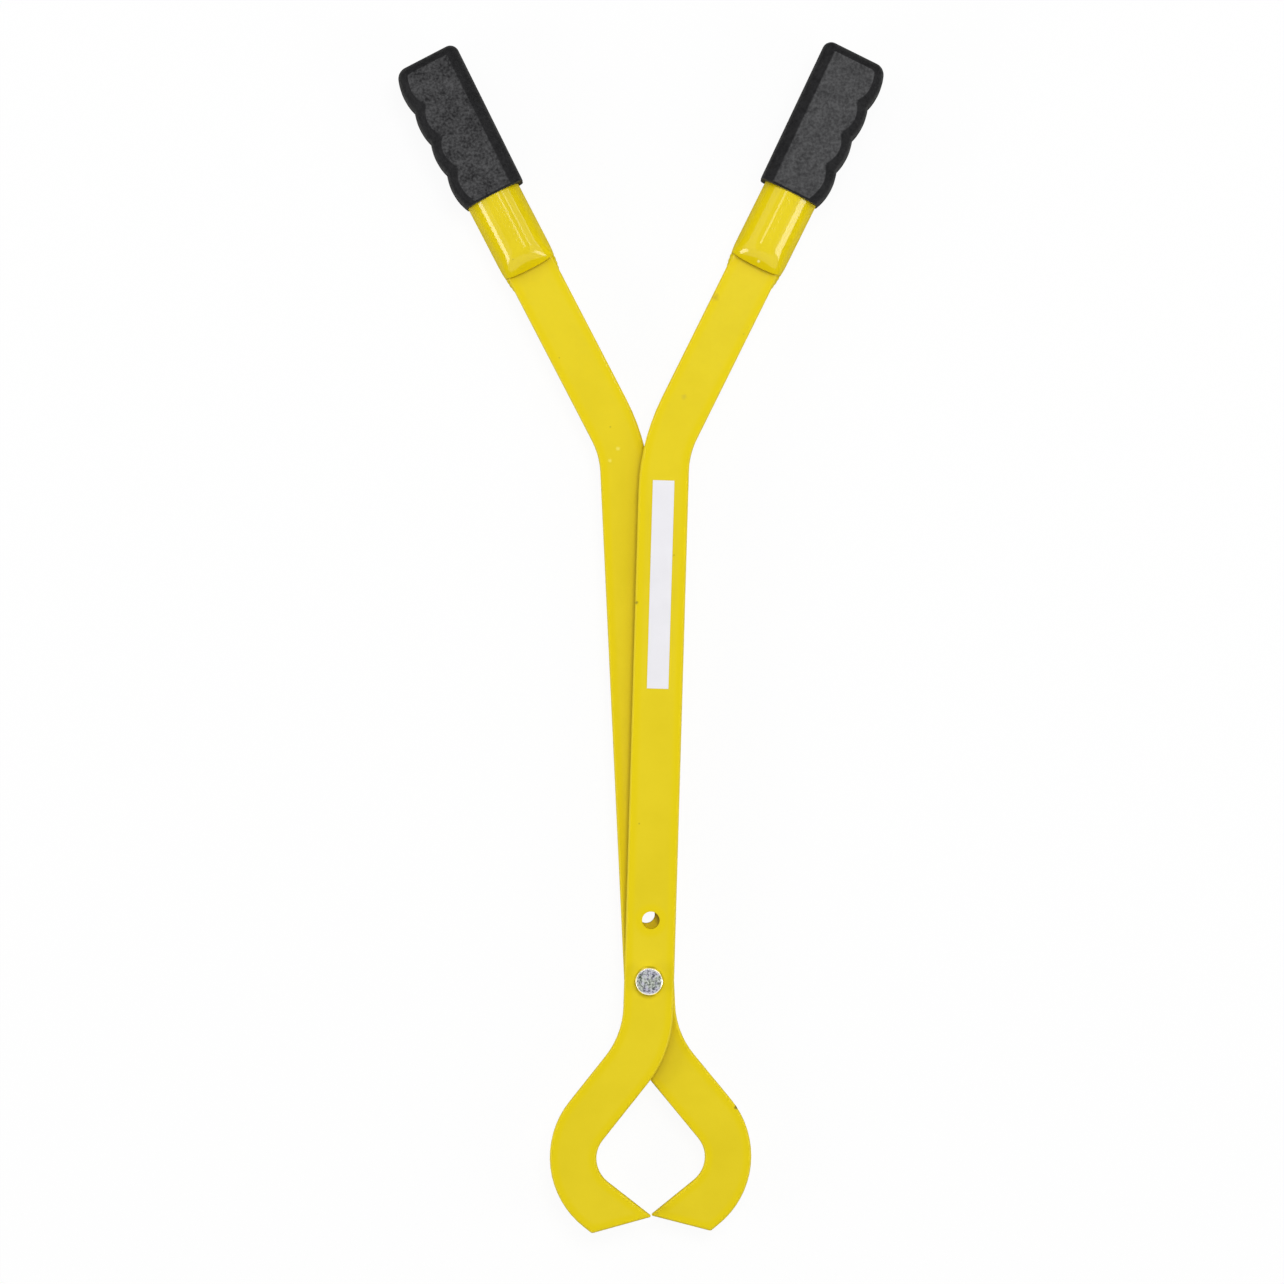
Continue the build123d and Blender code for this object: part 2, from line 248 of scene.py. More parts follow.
def over_tube(side, lean, distance, shift):
    """Place of a lamp square over one tube, leaning outwards, where the camera sees it mirrored."""
    tube = handle_frame(side, TUBE_HEIGHT) @ Matrix.Translation((0, SEEN_TUBE_MIDDLE, 0))
    sight = (tube.translation - camera.location).normalized()
    up_tube = distance * sight.dot(tube.col[1].to_3d()) + shift
    turn = Matrix.Rotation(side * radians(lean), 4, "Y")
    return tube @ turn @ Matrix.Translation((0, up_tube, distance))


high_turn = HIGH_LAMP_PLACE.to_track_quat("Z", "Y").to_matrix().to_4x4()
high_place = Matrix.Translation(HIGH_LAMP_PLACE) @ high_turn
lamp("high_lamp", high_place, HIGH_LAMP_SIZE, HIGH_LAMP_SIZE, HIGH_LAMP_RADIANCE, mirrored=False)
for name, side, lean, distance, shift, width, length, radiance, mirrored in TUBE_LAMPS:
    lamp(name, over_tube(side, lean, distance, shift), width, length, radiance, mirrored)


# Arms. Each is one flat steel bar, bent at knee and handle and cut to a hooked jaw, under a sprayed
# coat of glossy yellow enamel. The coat is duller along the rounded edges and deeper in colour
# towards them, its steep sides carry painted shade, and painted shade lies where the arms cross and
# round the bolt. It is nicked and rubbed in a few places by handling.
ENAMEL_FACE = "#E6CF1C"
ENAMEL_DEEP = "#D8C10A"
ENAMEL_RIM = "#E5CD00"
# The next two colours are painted shade: in corners beside the other arm, and a ring round the bolt
# head.
CROSSING_SHADE = "#776200"
BOLT_RING_SHADE = "#5E5618"
DARK_SPECK = "#7A6A1A"
TINT_MM = 45
FRAY_MM = 1.2
SPECK_MM = 16
PEEL_MM = 2.0
WAVE_MM = 28
# Reach of the painted shade in corners and where it fades out near the bolt, then the span of the
# painted ring round the bolt head.
SHADE_REACH = 0.008
SHADE_FREE_NEAR_BOLT = 0.012
SHADE_FULL_BEYOND = 0.018
RING_SHADE_START = 0.0086
RING_SHADE_END = 0.0098
FRAY_DEPTH = 0.001
DULL_EDGE = 0.55
ENAMEL_MARKS = [
    # what it is, place from the bolt in mm, radius in mm, colour, how much it covers
    ("nick on the right jaw's outer edge", (51.6, -77.2), 1.6, "#5A4A18", 0.9),
    ("nick on the front arm's left edge", (-5.4, 227.2), 1.5, "#8A7410", 0.8),
    ("rubbed brown place by the right tube", (43.2, 410.0), 3.4, "#B08A2C", 0.45),
    ("dull spot under the right tube", (24.1, 350.2), 2.4, "#C9B33A", 0.5),
    ("pale speck at the left bend", (-15.8, 320.0), 1.7, "#F7EC6E", 0.7),
    ("pale speck beside it", (-20.7, 312.8), 1.5, "#F7EC6E", 0.6),
    # The next mark is a painted highlight, a glint of light on the right tube's nose.
    ("bright drop on the right tube's nose", (69.4, 430.7), 1.1, "#FFF8B0", 0.9),
]


def per_mm(size):
    """Scale of a pattern whose features are this many millimetres apart."""
    return 1000 / size


def new_material(name):
    """Empty material, with its node tree and a point's place on the piece."""
    material = bpy.data.materials.new(name)
    material.use_nodes = True
    material.node_tree.nodes.clear()
    place = add_node(material.node_tree, "TexCoord", {}).outputs["Object"]
    return material, material.node_tree, place


def facing_up(tree, low, high):
    """0 on surfaces that lean over, 1 on those that lie flat, up or down."""
    normal = add_node(tree, "NewGeometry", {}).outputs["Normal"]
    upward = add_node(tree, "SeparateXYZ", {0: normal}).outputs["Z"]
    level = add_node(tree, "Math", {0: upward}, operation="ABSOLUTE")
    return add_node(
        tree, "MapRange", {"Value": level, "From Min": low, "From Max": high},
        interpolation_type="SMOOTHSTEP",
    )


def yellow_enamel(name, edge, shine_starts, shine, wave, peel, rim_width=0.0):
    """Glossy enamel: orange peel 2 mm across, and waves of the steel under it that bend highlights.

    It takes the colour on steep sides, on the bars a painted shade, how level a surface is where
    the gloss starts and is full, the range of roughness, the heights of waves and peel, and how far
    in a bar's edge looks deeper.
    """
    material, tree, place = new_material(name)
    seen_place = add_node(tree, "VectorMath", {0: place, 1: (1, 1, 0)}, operation="MULTIPLY")
    bolt_distance = add_node(
        tree, "VectorMath", {0: seen_place, 1: (pivot.x, pivot.y, 0)}, operation="DISTANCE"
    ).outputs["Value"]

    # A deeper yellow on the steep sides, dark enough on the bars to be painted shade, and in slow
    # clouds everywhere.
    flat = facing_up(tree, 0.55, 0.99)
    tint = add_node(
        tree, "TexNoise",
        {"Vector": place, "Scale": per_mm(TINT_MM), "Detail": 6.0, "Roughness": 0.6},
    )
    tint_share = add_node(
        tree, "MapRange", {"Value": tint, "From Min": 0.42, "From Max": 0.75, "To Max": 0.45}
    )
    colour = add_node(
        tree, "Mix", {0: flat, 6: linear(edge), 7: linear(ENAMEL_FACE)}, data_type="RGBA"
    ).outputs[2]
    colour = add_node(
        tree, "Mix", {0: tint_share, 6: colour, 7: linear(ENAMEL_DEEP)}, data_type="RGBA"
    ).outputs[2]

    if rim_width:
        # The face turns deeper towards the bar's edges.
        inwards = add_node(
            tree, "AmbientOcclusion", {"Distance": rim_width},
            samples=8, inside=True, only_local=True,
        )
        rim = add_node(
            tree, "MapRange",
            {"Value": inwards.outputs["AO"], "From Min": 0.87, "From Max": 0.998,
             "To Min": 1.0, "To Max": 0.0},
        )
        colour = add_node(
            tree, "Mix", {0: rim, 6: colour, 7: linear(ENAMEL_RIM)}, data_type="RGBA"
        ).outputs[2]

        # Painted shade darkens the flat faces in corners, as beside the other arm, though not near
        # the bolt.
        occlusion = add_node(tree, "AmbientOcclusion", {"Distance": SHADE_REACH}, samples=8)
        shade_depth = add_node(
            tree, "MapRange",
            {"Value": occlusion.outputs["AO"], "From Min": 0.5, "From Max": 0.95,
             "To Min": 0.30, "To Max": 0.0},
        )
        off_bolt = add_node(
            tree, "MapRange",
            {"Value": bolt_distance, "From Min": SHADE_FREE_NEAR_BOLT, "From Max": SHADE_FULL_BEYOND},
        )
        on_face = add_node(tree, "Math", {0: flat, 1: off_bolt}, operation="MULTIPLY")
        painted_shade = add_node(tree, "Math", {0: shade_depth, 1: on_face}, operation="MULTIPLY")
        colour = add_node(
            tree, "Mix", {0: painted_shade, 6: colour, 7: linear(CROSSING_SHADE)}, data_type="RGBA"
        ).outputs[2]

    # Each mark has a frayed outline.
    frayed = add_node(
        tree, "TexNoise", {"Vector": place, "Scale": per_mm(FRAY_MM), "Detail": 2.0}
    )
    for _, spot, size, stain, strength in ENAMEL_MARKS:
        radius = size / 1000
        centre = (pivot.x + spot[0] / 1000, pivot.y + spot[1] / 1000, 0)
        away = add_node(tree, "VectorMath", {0: seen_place, 1: centre}, operation="DISTANCE")
        ragged = add_node(
            tree, "Math", {0: frayed, 1: radius, 2: away.outputs["Value"]},
            operation="MULTIPLY_ADD",
        )
        inside = add_node(
            tree, "MapRange",
            {"Value": ragged, "From Min": 0.7 * radius, "From Max": 1.4 * radius,
             "To Min": strength, "To Max": 0.0},
        )
        colour = add_node(
            tree, "Mix", {0: inside, 6: colour, 7: linear(stain)}, data_type="RGBA"
        ).outputs[2]

    # A painted dark ring, shade round the bolt head, lies on the enamel just outside it.
    ring_reach = add_node(
        tree, "Math", {0: frayed, 1: FRAY_DEPTH, 2: bolt_distance}, operation="MULTIPLY_ADD"
    )
    ring_shade = add_node(
        tree, "MapRange",
        {"Value": ring_reach, "From Min": RING_SHADE_START, "From Max": RING_SHADE_END,
         "To Min": 0.6, "To Max": 0.0},
    )
    colour = add_node(
        tree, "Mix", {0: ring_shade, 6: colour, 7: linear(BOLT_RING_SHADE)}, data_type="RGBA"
    ).outputs[2]

    # Dark specks lie some 16 mm apart, each about 1 mm across.
    speck = add_node(
        tree, "TexVoronoi", {"Vector": place, "Scale": per_mm(SPECK_MM), "Randomness": 1.0}
    )
    speck_share = add_node(
        tree, "MapRange",
        {"Value": speck.outputs["Distance"], "From Min": 0.02, "From Max": 0.045,
         "To Min": 0.35, "To Max": 0.0},
    )
    colour = add_node(
        tree, "Mix", {0: speck_share, 6: colour, 7: linear(DARK_SPECK)}, data_type="RGBA"
    ).outputs[2]

    peel_noise = add_node(
        tree, "TexNoise", {"Vector": place, "Scale": per_mm(PEEL_MM), "Detail": 2.0}
    )
    peel_bump = add_node(
        tree, "Bump", {"Height": peel_noise, "Strength": 1.0, "Distance": peel}
    )
    wave_noise = add_node(
        tree, "TexNoise", {"Vector": place, "Scale": per_mm(WAVE_MM), "Detail": 1.0}
    )
    bump = add_node(
        tree, "Bump",
        {"Height": wave_noise, "Strength": 1.0, "Distance": wave, "Normal": peel_bump},
    )
    shiny = facing_up(tree, *shine_starts)
    gloss = add_node(tree, "MapRange", {"Value": tint, "To Min": shine[0], "To Max": shine[1]})
    roughness = add_node(tree, "Mix", {0: shiny, 2: DULL_EDGE, 3: gloss})
    shader = add_node(
        tree, "BsdfPrincipled",
        {"Base Color": colour, "Roughness": roughness, "IOR": 1.45, "Normal": bump},
    )
    add_node(tree, "OutputMaterial", {"Surface": shader})
    return material


def cover(material, *nodes):
    """Give these pieces of the solid model this finish."""
    for node in nodes:
        for place in frame["nodes"][node].material_slots:
            place.material = material


# The bars' steep sides take a dark yellow, painted shade.
on_bar = yellow_enamel(
    "yellow_enamel_on_bar", edge="#C8B000", shine_starts=(0.90, 0.99), shine=(0.06, 0.20),
    wave=0.16e-3, peel=0.012e-3, rim_width=0.006,
)
cover(on_bar, "front_arm", "rear_arm")


# Welds. Short rippled beads hold each tube to the narrow edges of its arm. They lie under the same
# coat, which is a little deeper on their sides, and glossy all over.
on_weld = yellow_enamel(
    "yellow_enamel_on_weld", edge="#DFC900", shine_starts=(0.35, 0.75), shine=(0.10, 0.24),
    wave=0.20e-3, peel=0.012e-3,
)
cover(on_weld, "front_outer_weld", "front_inner_weld", "rear_outer_weld", "rear_inner_weld")


# Handle tubes. Each is a round steel tube, its lower end pressed over the arm to a flattened oval
# with rounded corners, and slotted for the arm's tang. The enamel lies smoother on the drawn tube
# than on the bar, so it mirrors the lamps as sharp streaks.
TUBE_START = 0.123
TUBE_LENGTH = 0.135
TUBE_RADIUS = 0.01685
TUBE_BORE = 0.01485
NOSE_START = 0.016
NOSE_END = -0.0025
NOSE_CURVE_START = 0.013
NOSE_PRESSED_IN = 0.00995
NOSE_DRAWN_IN = 0.00115
NOSE_SQUARENESS = 1.6
LIP_RADIUS = 0.090
LIP_DIP = 0.0012
TANG_SLOT = Vector((0.0252, 0.048, 0.0082))
AROUND_TUBE = 128
ALONG_NOSE = 24
TUBE_SHARP = radians(35)
TOOL_SHARP = radians(40)
TOOL_OVERRUN = 0.010


def finish_mesh(name, built, sharp_angle):
    """Object from a bmesh, smooth but for its sharp edges."""
    bmesh.ops.recalc_face_normals(built, faces=built.faces)
    mesh = bpy.data.meshes.new(name)
    built.to_mesh(mesh)
    built.free()
    mesh.shade_smooth()
    mesh.set_sharp_from_angle(angle=sharp_angle)
    piece = bpy.data.objects.new(name, mesh)
    bpy.context.scene.collection.objects.link(piece)
    return piece


def join_rings(built, rings):
    """Rows of faces between rings of points, and the points themselves."""
    rows = [[built.verts.new(point) for point in ring] for ring in rings]
    for lower, upper in zip(rows, rows[1:]):
        for first, second in zip(range(-1, len(lower) - 1), range(len(lower))):
            built.faces.new((lower[first], lower[second], upper[second], upper[first]))
    return rows


def rings_mesh(rings):
    """Closed bmesh over a stack of rings of points, with a flat face at each end."""
    built = bmesh.new()
    rows = join_rings(built, rings)
    built.faces.new(list(reversed(rows[0])))
    built.faces.new(rows[-1])
    return built


def cut_away(piece, *tools):
    """Cut the shapes of the tools out of a piece, and remove the tools."""
    for tool in tools:
        cut = piece.modifiers.new("cut", "BOOLEAN")
        cut.operation = "DIFFERENCE"
        cut.object = tool
    bpy.context.view_layer.update()
    depsgraph = bpy.context.evaluated_depsgraph_get()
    cut_mesh = bpy.data.meshes.new_from_object(piece.evaluated_get(depsgraph))
    piece.modifiers.clear()
    piece.data = cut_mesh
    for tool in tools:
        bpy.data.objects.remove(tool)


def round_ring(place, radius, up):
    """Circle of points round a handle's line."""
    angles = [2 * pi * step / AROUND_TUBE for step in range(AROUND_TUBE)]
    return [place @ Vector((radius * cos(a), up, radius * sin(a))) for a in angles]


def bore_tool(place, radius, start, end):
    """Round rod along the handle, to cut a bore."""
    rings = [round_ring(place, radius, up) for up in (start, end)]
    return finish_mesh("bore", rings_mesh(rings), TOOL_SHARP)


def slot_tool(place, size):
    """Flat block round the tube's start, to cut the slot for the arm's tang."""
    corners = [(-1, -1), (1, -1), (1, 1), (-1, 1)]
    half = size / 2
    rings = [
        [place @ Vector((x * half.x, y * half.y, z * half.z)) for x, z in corners]
        for y in (-1, 1)
    ]
    return finish_mesh("slot", rings_mesh(rings), TOOL_SHARP)


def nose_point(angle, step):
    """Point of the pressed nose, from the curved lip at step 0 to the round tube at the last."""
    lip = LIP_RADIUS - LIP_DIP - sqrt(LIP_RADIUS**2 - (TUBE_RADIUS * cos(angle)) ** 2)
    up = lip + (NOSE_START - lip) * step / ALONG_NOSE
    pressed = max(NOSE_CURVE_START - up, 0.0) / (NOSE_CURVE_START - NOSE_END)
    power = 2 / (2 + NOSE_SQUARENESS * pressed**2)
    across = copysign(abs(cos(angle)) ** power, cos(angle))
    high = copysign(abs(sin(angle)) ** power, sin(angle))
    half_width = TUBE_RADIUS - NOSE_DRAWN_IN * pressed**4
    half_height = TUBE_RADIUS - NOSE_PRESSED_IN * pressed**2
    return Vector((half_width * across, up, half_height * high))


def make_tube(name, side, node, body):
    """Handle tube with its pressed nose, bored and slotted."""
    middle = (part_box(node)[0].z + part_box(node)[1].z) / 2
    place = handle_frame(side, middle) @ Matrix.Translation((0, TUBE_START, 0))
    angles = [2 * pi * turn / AROUND_TUBE for turn in range(AROUND_TUBE)]
    rings = [[place @ nose_point(a, step) for a in angles] for step in range(ALONG_NOSE + 1)]
    rings.append(round_ring(place, TUBE_RADIUS, TUBE_LENGTH))
    built = bmesh.new()
    rows = join_rings(built, rings)

    # The lip is a curved line, so strips across the tube close it.
    lip_row = rows[0]
    for turn in range(AROUND_TUBE // 2):
        strip = [lip_row[turn], lip_row[turn + 1], lip_row[-turn - 1], lip_row[-turn]]
        built.faces.new(list(dict.fromkeys(strip)))
    built.faces.new(rows[-1])
    tube = finish_mesh(name, built, TUBE_SHARP)
    bore = bore_tool(place, TUBE_BORE, NOSE_START, TUBE_LENGTH + TOOL_OVERRUN)
    cut_away(tube, bore, slot_tool(place, TANG_SLOT))
    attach(tube, body)
    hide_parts(node)
    return tube


on_tube = yellow_enamel(
    "yellow_enamel_on_tube", edge="#E8CF00", shine_starts=(0.35, 0.75), shine=(0.06, 0.11),
    wave=0.004e-3, peel=0.0008e-3,
)
front_tube = make_tube("front_enamelled_tube", 1, "front_handle_tube", "front_half")
front_tube.data.materials.append(on_tube)
rear_tube = make_tube("rear_enamelled_tube", -1, "rear_handle_tube", "rear_half")
rear_tube.data.materials.append(on_tube)


# Grips. Each is moulded in black rubber, pushed over its tube: flat faces with rolled edges, four
# finger lobes, a closed end and a small round at the mouth's rim. The flat faces are mottled in
# lighter greys, the front grip's lighter still, the upright sides are rubbed grey, and the rolled
# edges between stay dark.
GRIP_LENGTH = 0.0921
GRIP_HALF_HEIGHT = 0.0195
GRIP_BACK = 0.0202
GRIP_DRAFT = radians(1.03)
FRONT_GRIP_START = 0.1701
REAR_GRIP_START = 0.1711
LOBES = 4
LOBE_PITCH = 0.021
FIRST_LOBE = 0.0135
LOBE_RADIUS = 0.030
LOBE_REACH = 0.0207
LOBE_TIGHTENING = 2.85
CUSP_RADIUS = 0.0010
MOUTH_CORNER = 0.0008
MOUTH_ROUND = 0.0012
BACK_CORNER = 0.0056
FRONT_CORNER = 0.0075
ROLL_DEPTH = 0.0070
BACK_ROLL = 0.0080
END_ROLL = 0.0050
LOBE_ROLL = 0.0060
ROLL_EDGE_TILT = radians(25)
FACE_EDGE = 0.0004
PARTING_HEIGHT = 0.00015
PARTING_WIDTH = 0.0003
BORE_RADIUS = 0.01725
BORE_DEPTH = 0.0881
HALF_LOBE_STEPS = 9
CORNER_STEPS = 10
TIGHT_STEPS = 4
ROLL_STEPS = 12
GRIP_SHARP = radians(40)
RUBBER_CLEAN = ("#171718", "#262627")
RUBBER_RUBBED = ("#363636", "#4C4C4B")
GRAIN_MM = 1.7
CLOUD_MM = 8


def arc(centre, radius, start, end, steps):
    """Points of an arc in the plane, its two ends included."""
    angles = [start + (end - start) * step / steps for step in range(steps + 1)]
    return [Vector((centre[0] + radius * cos(a), centre[1] + radius * sin(a))) for a in angles]


def grip_outline(back_inset, end_inset, lobe_inset, mouth):
    """Outline of the grip from above, drawn in along its back, its end, its lobes and its mouth.

    The lobes get tighter as they are drawn in, so that they meet in sharp cusps on the flat face.
    The first lobe's half at the mouth and the last one's at the end stay wide, to reach them.
    """
    lobe_radius = LOBE_RADIUS - LOBE_TIGHTENING * lobe_inset
    lobe_x = LOBE_REACH - lobe_inset - lobe_radius
    wide_radius = LOBE_RADIUS - lobe_inset
    wide_x = LOBE_REACH - LOBE_RADIUS
    end = GRIP_LENGTH - end_inset
    middles = [FIRST_LOBE + LOBE_PITCH * lobe for lobe in range(LOBES)]

    mouth_y = mouth + MOUTH_CORNER
    corner_x = wide_x + sqrt((wide_radius - MOUTH_CORNER) ** 2 - (FIRST_LOBE - mouth_y) ** 2)
    first_touch = atan2(mouth_y - FIRST_LOBE, corner_x - wide_x)
    points = arc((corner_x, mouth_y), MOUTH_CORNER, -pi / 2, first_touch, TIGHT_STEPS)
    points += arc((wide_x, FIRST_LOBE), wide_radius, first_touch, 0, HALF_LOBE_STEPS)[1:]

    reach = lobe_radius + CUSP_RADIUS
    cusp_angle = asin(LOBE_PITCH / 2 / reach)
    cusp_x = lobe_x + reach * cos(cusp_angle)
    for middle in middles[:-1]:
        points += arc((lobe_x, middle), lobe_radius, 0, cusp_angle, HALF_LOBE_STEPS)[1:]
        cusp = (cusp_x, middle + LOBE_PITCH / 2)
        points += arc(cusp, CUSP_RADIUS, pi + cusp_angle, pi - cusp_angle, TIGHT_STEPS)[1:]
        next_lobe = (lobe_x, middle + LOBE_PITCH)
        points += arc(next_lobe, lobe_radius, -cusp_angle, 0, HALF_LOBE_STEPS)[1:]

    front = FRONT_CORNER - end_inset
    front_y = end - front
    front_x = wide_x + sqrt((wide_radius - front) ** 2 - (front_y - middles[-1]) ** 2)
    last_touch = atan2(front_y - middles[-1], front_x - wide_x)
    points += arc((wide_x, middles[-1]), wide_radius, 0, last_touch, HALF_LOBE_STEPS)[1:]
    points += arc((front_x, front_y), front, last_touch, pi / 2, CORNER_STEPS)[1:]

    back = max(BACK_CORNER - end_inset, CUSP_RADIUS)
    back_y = end - back
    wall_x = back_inset - GRIP_BACK
    back_x = wall_x - tan(GRIP_DRAFT) * back_y + back / cos(GRIP_DRAFT)
    points += arc((back_x, back_y), back, pi / 2, pi + GRIP_DRAFT, CORNER_STEPS)
    mouth_x = wall_x - tan(GRIP_DRAFT) * mouth_y + MOUTH_CORNER / cos(GRIP_DRAFT)
    points += arc((mouth_x, mouth_y), MOUTH_CORNER, pi + GRIP_DRAFT, 1.5 * pi, TIGHT_STEPS)
    return points


def grip_levels():
    """Height of each ring and how far it is drawn in, from the grip's middle to its upper face.

    The rings at the middle stand out a little, as the mould's parting line.
    """
    low = PARTING_HEIGHT
    levels = [(PARTING_WIDTH, 0.0, 0.0, 0.0, 0.0), (2 * PARTING_WIDTH, low, low, low, 0.0)]
    side_top = GRIP_HALF_HEIGHT - ROLL_DEPTH
    levels.append((side_top, low, low, low, 0.0))
    for step in range(1, ROLL_STEPS + 1):
        tilt = pi / 2 + (ROLL_EDGE_TILT - pi / 2) * step / ROLL_STEPS
        drawn_in = (1 - sin(tilt)) / (1 - sin(ROLL_EDGE_TILT))
        height = side_top + ROLL_DEPTH * cos(tilt) / cos(ROLL_EDGE_TILT)
        rise = max(height - GRIP_HALF_HEIGHT + MOUTH_ROUND, 0.0)
        mouth = MOUTH_ROUND - sqrt(max(MOUTH_ROUND**2 - rise**2, 0.0))
        sides = [low + roll * drawn_in for roll in (BACK_ROLL, END_ROLL, LOBE_ROLL)]
        levels.append((height, *sides, mouth))
    levels.append((GRIP_HALF_HEIGHT, *[inset + FACE_EDGE for inset in levels[-1][1:]]))
    return levels


def make_grip(name, side, start, node, body):
    """Moulded grip at a distance up one handle, bored for its tube."""
    centre = (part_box(node)[0].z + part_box(node)[1].z) / 2
    to_handle = handle_frame(side, centre)
    upper = grip_levels()
    levels = [(-height, *insets) for height, *insets in reversed(upper)] + upper
    rings = []
    for height, *insets in levels:
        outline = grip_outline(*insets)
        rings.append([to_handle @ Vector((side * p.x, start + p.y, height)) for p in outline])
    grip = finish_mesh(name, rings_mesh(rings), GRIP_SHARP)
    cut_away(grip, bore_tool(to_handle, BORE_RADIUS, start - TOOL_OVERRUN, start + BORE_DEPTH))
    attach(grip, body)
    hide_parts(node)
    return grip


def moulded_rubber(name, face_greys):
    """Matt black rubber with a sand-blasted grain, its flat faces mottled in two lighter greys."""
    material, tree, place = new_material(name)
    grain = add_node(
        tree, "TexNoise",
        {"Vector": place, "Scale": per_mm(GRAIN_MM), "Detail": 2.0, "Roughness": 0.6},
    )
    cloud = add_node(
        tree, "TexNoise",
        {"Vector": place, "Scale": per_mm(CLOUD_MM), "Detail": 2.0, "Roughness": 0.6},
    )
    mottle = add_node(tree, "Math", {0: cloud, 1: 0.6, 2: grain}, operation="MULTIPLY_ADD")
    share = add_node(tree, "MapRange", {"Value": mottle, "From Min": 0.58, "From Max": 1.02})

    # Each of the three finishes is mottled between a darker and a lighter grey.
    on_face, on_roll, on_side = [
        add_node(
            tree, "Mix", {0: share, 6: linear(dark), 7: linear(light)}, data_type="RGBA"
        ).outputs[2]
        for dark, light in (face_greys, RUBBER_CLEAN, RUBBER_RUBBED)
    ]
    rolled = facing_up(tree, 0.30, 0.80)
    flat = facing_up(tree, 0.96, 0.998)
    edges = add_node(tree, "Mix", {0: rolled, 6: on_side, 7: on_roll}, data_type="RGBA")
    colour = add_node(
        tree, "Mix", {0: flat, 6: edges.outputs[2], 7: on_face}, data_type="RGBA"
    ).outputs[2]
    bump = add_node(tree, "Bump", {"Height": grain, "Strength": 1.0, "Distance": 0.10e-3})
    shader = add_node(
        tree, "BsdfPrincipled",
        {"Base Color": colour, "Roughness": 0.66, "IOR": 1.5, "Specular IOR Level": 0.15,
         "Normal": bump},
    )
    add_node(tree, "OutputMaterial", {"Surface": shader})
    return material


front_grip = make_grip("front_rubber_grip", 1, FRONT_GRIP_START, "front_grip", "front_half")
front_grip.data.materials.append(moulded_rubber("grey_faced_black_rubber", ("#343435", "#535354")))
rear_grip = make_grip("rear_rubber_grip", -1, REAR_GRIP_START, "rear_grip", "rear_half")
rear_grip.data.materials.append(moulded_rubber("moulded_black_rubber", ("#1E1E1F", "#4E4E4F")))


# Bolt, washer and nut. They are cold forged steel, zinc plated. The head is spangled, and its
# chamfer and all steep sides are painted near white, a painted highlight; the nut and the washer
# behind have gone dull. The bolt's end has its M10 thread.
BOLT_RADIUS = 0.005
HEAD_HEIGHT = 0.0064
HEAD_FLATS = 0.016
HEAD_CORNERS = 0.0087
HEAD_TURN = radians(-9)
HEAD_RIM = 0.00725
HEAD_CHAMFER = radians(26)
CORNER_START = 0.0080
CORNER_SLOPE = radians(70)
CORNER_LEDGE = 0.00005
RIM_EDGE = 0.0003
THREAD_PITCH = 0.0015
THREAD_DEPTH = 0.0009
THREAD_LENGTH = 0.014
FLANK_STEEPNESS = 1.3
CREST_WIDTH = 0.1
END_CHAMFER = 0.001
AROUND_BOLT = 72
STEPS_PER_TURN = 10
BOLT_SHARP = radians(28)
ZINC_DARK = ("#5A5874", "#65715D")
ZINC_LIGHT = ("#F6F5FF", "#F6FCEE")
ZINC_SIDE_HIGHLIGHT = "#FFFBE6"
SPANGLE_MM = 2.0
ZINC_HUE_MM = 5


def hexagon_radius(angle):
    """Distance from the middle of the head to its side."""
    from_flat = ((angle - HEAD_TURN) % (pi / 3)) - pi / 6
    return min(HEAD_FLATS / 2 / cos(from_flat), HEAD_CORNERS)


def thread_radius(turn):
    """Radius of the thread at a fraction of a turn, from its crest through its root and back."""
    ramp = abs((turn % 1.0) - 0.5) * 2
    return BOLT_RADIUS - THREAD_DEPTH * min(max(ramp * FLANK_STEEPNESS - CREST_WIDTH, 0.0), 1.0)


def thread_ring(up, angles, foot):
    """Ring of the threaded end, in radius, angle and height. The thread fades in its last turn."""
    end_limit = BOLT_RADIUS - max(END_CHAMFER - up, 0.0)
    run_out = max(up - THREAD_LENGTH + THREAD_PITCH, 0.0) / THREAD_PITCH
    ring = []
    for angle in angles:
        radius = thread_radius(up / THREAD_PITCH - angle / (2 * pi))
        radius += (BOLT_RADIUS - radius) * run_out
        ring.append((min(radius, end_limit), angle, foot + up))
    return ring


def make_bolt():
    """Hexagon head with its corners turned off and worn, a plain shank and a threaded end."""
    low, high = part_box("pivot_bolt")
    angles = [2 * pi * step / AROUND_BOLT for step in range(AROUND_BOLT)]
    rows = round(THREAD_LENGTH / THREAD_PITCH * STEPS_PER_TURN)
    rings = [thread_ring(THREAD_LENGTH * row / rows, angles, low.z) for row in range(rows + 1)]
    seat = high.z - HEAD_HEIGHT
    rings.append([(BOLT_RADIUS, angle, seat) for angle in angles])
    rings.append([(hexagon_radius(angle), angle, seat) for angle in angles])
    wall = []
    chamfer_foot = []
    for angle in angles:
        radius = hexagon_radius(angle)
        foot = min(radius - CORNER_LEDGE, CORNER_START)
        foot_height = high.z - (foot - HEAD_RIM) * tan(HEAD_CHAMFER)
        wall.append((radius, angle, foot_height - (radius - foot) * tan(CORNER_SLOPE)))
        chamfer_foot.append((foot, angle, foot_height))
    rings += [wall, chamfer_foot]
    rings.append([(HEAD_RIM, angle, high.z) for angle in angles])
    rings.append([(HEAD_RIM - RIM_EDGE, angle, high.z) for angle in angles])
    placed = [
        [(pivot.x + r * cos(a), pivot.y + r * sin(a), height) for r, a, height in ring]
        for ring in rings
    ]
    bolt = finish_mesh("threaded_pivot_bolt", rings_mesh(placed), BOLT_SHARP)
    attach(bolt, "rear_half")
    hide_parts("pivot_bolt")
    return bolt


